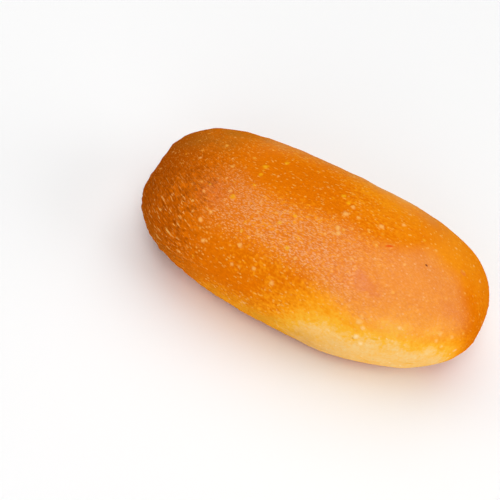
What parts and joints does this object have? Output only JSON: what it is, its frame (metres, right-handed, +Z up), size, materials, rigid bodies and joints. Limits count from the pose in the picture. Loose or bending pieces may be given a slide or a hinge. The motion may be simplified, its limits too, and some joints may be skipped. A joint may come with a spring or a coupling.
{
  "type": "piroshki",
  "caption": "Oval baked turnover of yeast dough, shut all round, with a low domed glossy crust, a wrinkled blunt end and a flat underside to rest on.",
  "frame": {"origin": "middle of the flat underside, at the bottom centre of the bounding box", "axes": "+X along the bun towards its rounder end, +Y towards its far flank, +Z up from the table"},
  "size_m": [0.12, 0.061, 0.042],
  "materials": {
    "baked_crust": null
  },
  "bodies": {
    "root": {"piroshki": "baked_crust"}
  },
  "joints": []
}
